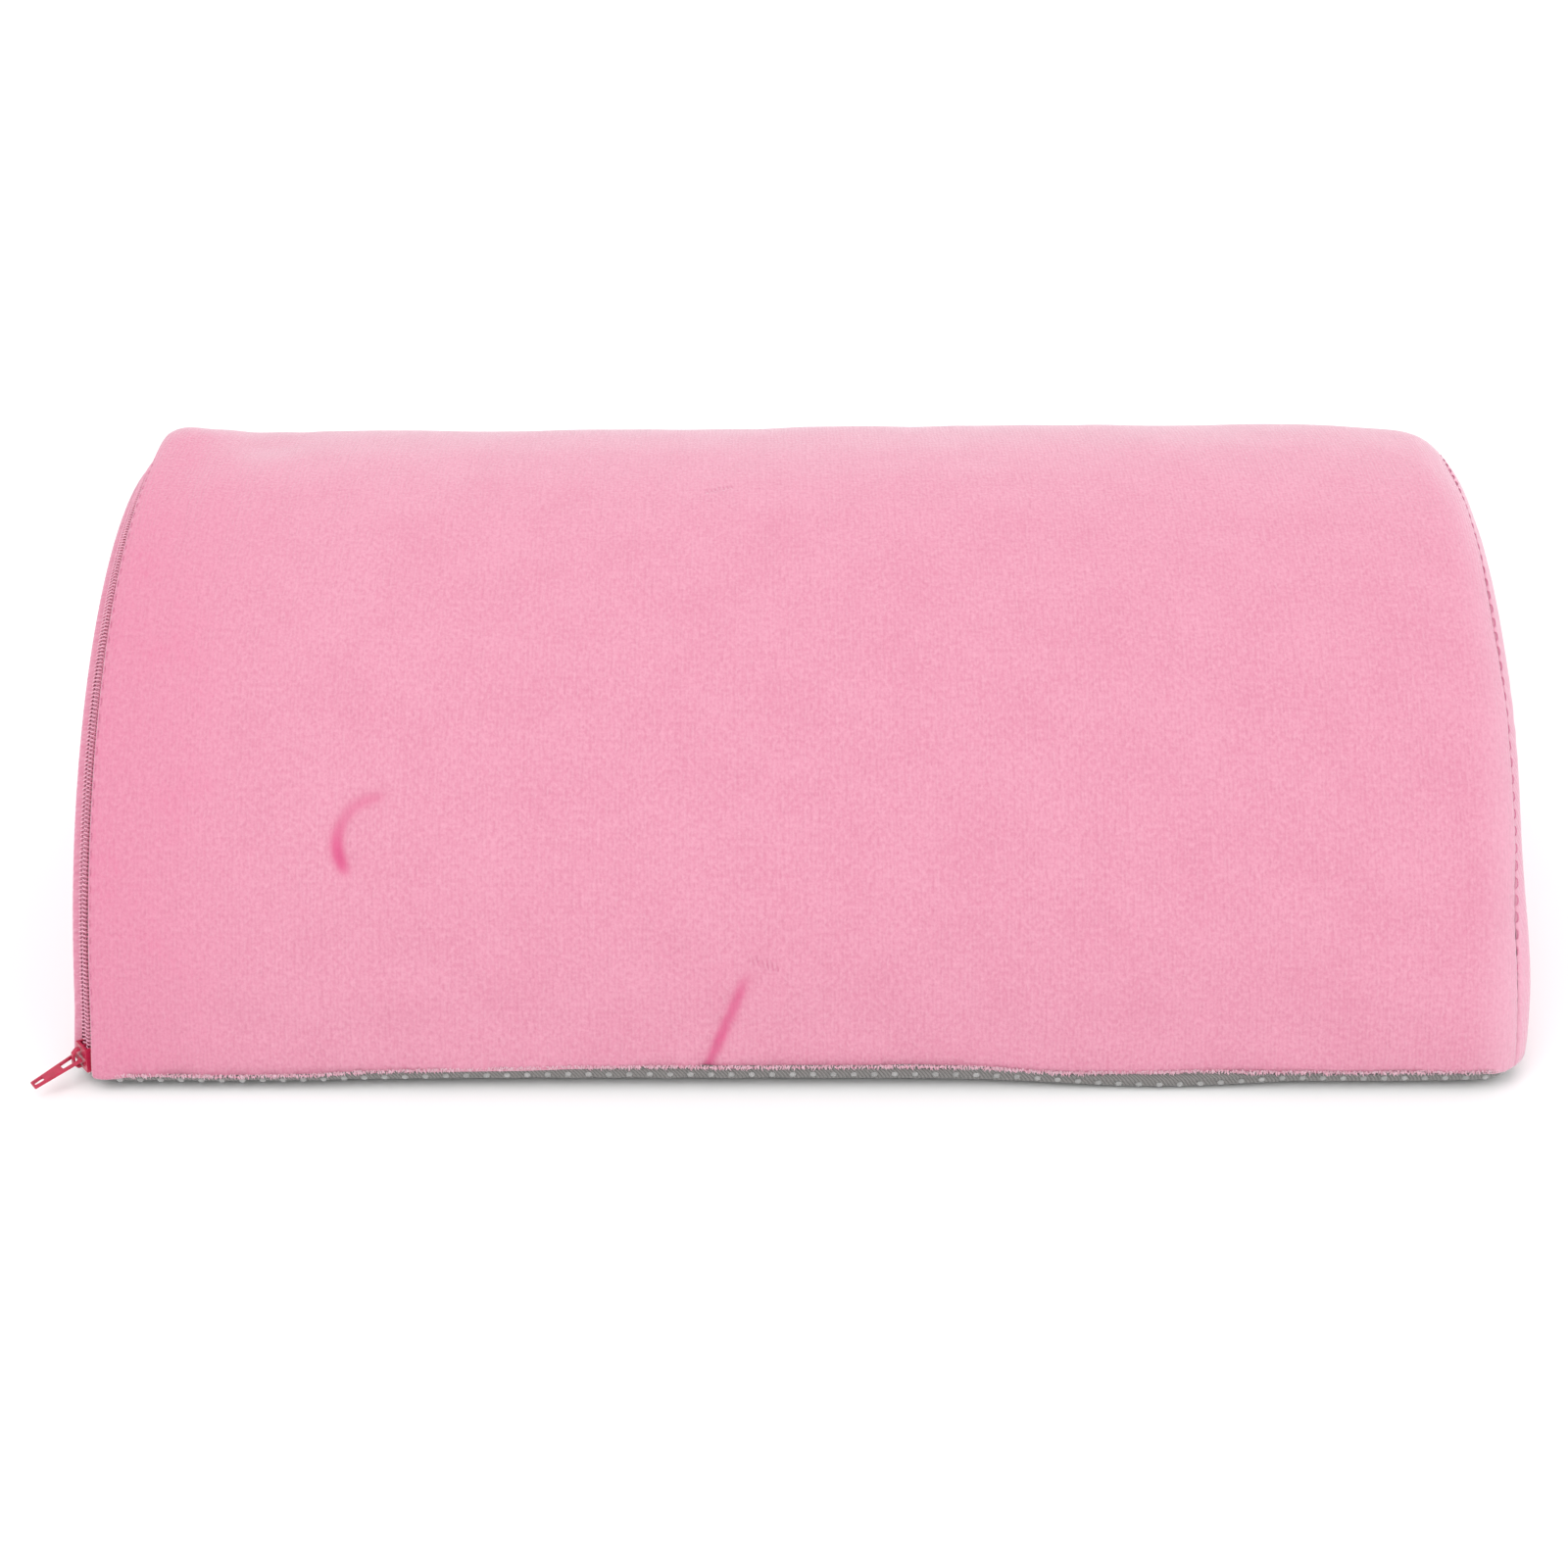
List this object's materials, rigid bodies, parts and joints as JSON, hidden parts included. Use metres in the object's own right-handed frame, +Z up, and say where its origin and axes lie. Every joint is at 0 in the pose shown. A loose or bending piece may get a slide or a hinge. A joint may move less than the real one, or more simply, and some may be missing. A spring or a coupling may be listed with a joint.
{
  "type": "half-round foot-rest cushion",
  "caption": "Half-round foam foot-rest cushion in a removable pink velour cover with a grey non-slip base and a zip over the arc at one end.",
  "frame": {"origin": "centre of the cushion's underside, on the surface that it stands on", "axes": "+X along the half-round, with the zipped end at -X; -Y is the front, where the slider is parked, and +Y the rear; +Z is up, out of the base"},
  "size_m": [0.4613, 0.3052, 0.1501],
  "materials": {
    "pink_velour": "short-pile pink velour, matt with a pale sheen at grazing angles",
    "grey_base_fabric": "grey twill with rows of clear non-slip dots",
    "foam": "cream open-cell polyurethane foam",
    "pink_thread": "matt deep-pink sewing thread",
    "zip_tape": "woven pink polyester tape",
    "zip_coil": "pink nylon coil, slightly glossy",
    "crimson_enamel": "glossy crimson enamel on a zinc die-casting"
  },
  "bodies": {
    "cushion": {"foam_core": "foam", "top_panel": "pink_velour", "end_panel_left": "pink_velour", "end_panel_right": "pink_velour", "base_panel": "grey_base_fabric", "seam_thread_right_arc": "pink_thread", "seam_thread_base": "pink_thread", "zip_topstitch_panel": "pink_thread", "zip_topstitch_end": "pink_thread", "zip_tape_panel": "zip_tape", "zip_tape_end": "zip_tape", "zip_coil_panel": "zip_coil", "zip_coil_end": "zip_coil", "zip_top_stop_panel": "crimson_enamel", "zip_top_stop_end": "crimson_enamel", "zip_bottom_stop": "crimson_enamel"},
    "slider": {"slider_body": "crimson_enamel", "slider_crown": "crimson_enamel"},
    "pull": {"pull_tab": "crimson_enamel"}
  },
  "joints": [
    {"name": "slider_travel", "type": "hinge", "parent": "cushion", "child": "slider", "pos_m": [-0.22135, 0, 0], "axis": [-0.9996, 0, 0.0295], "range_deg": [0, 165]},
    {"name": "pull_swing", "type": "hinge", "parent": "slider", "child": "pull", "pos_m": [-0.22306, -0.14494, 0.00924], "axis": [-0.5749, 0.8175, -0.0349], "range_deg": [-68, 108]}
  ]
}
